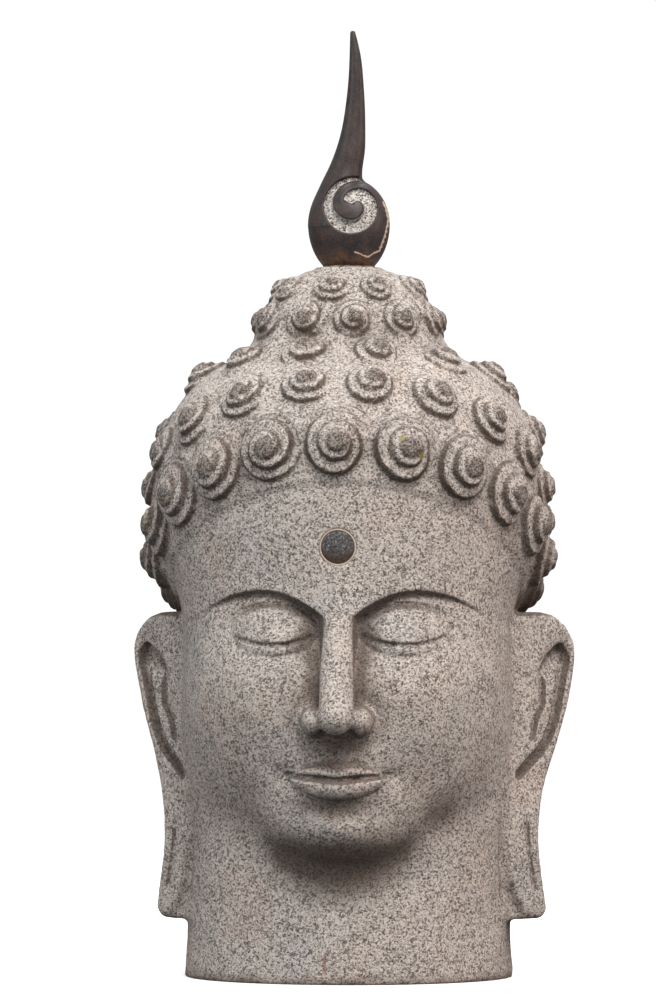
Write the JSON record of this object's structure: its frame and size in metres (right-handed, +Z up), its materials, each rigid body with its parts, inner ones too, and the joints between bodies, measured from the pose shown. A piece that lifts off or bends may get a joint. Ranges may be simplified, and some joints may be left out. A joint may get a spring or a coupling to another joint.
{
  "type": "carved stone buddha head",
  "caption": "Free-standing carved stone head with snail-shell curls, closed eyes, long ear lobes, a dark forehead disc and a dark flame finial with a spiral bulb.",
  "frame": {"origin": "centre of the neck's flat underside, on the surface that the head stands on", "axes": "+Z up through the finial, -Y the way the face looks, +X to the right of someone who faces it"},
  "size_m": [0.2814, 0.2879, 0.6003],
  "materials": {
    "speckled_stone": "matte, chiselled",
    "dark_stone": "rubbed satin",
    "disc_stone": "honed"
  },
  "bodies": {
    "root": {"head": "speckled_stone", "forehead_disc": "disc_stone", "flame_finial": "dark_stone"}
  },
  "joints": []
}
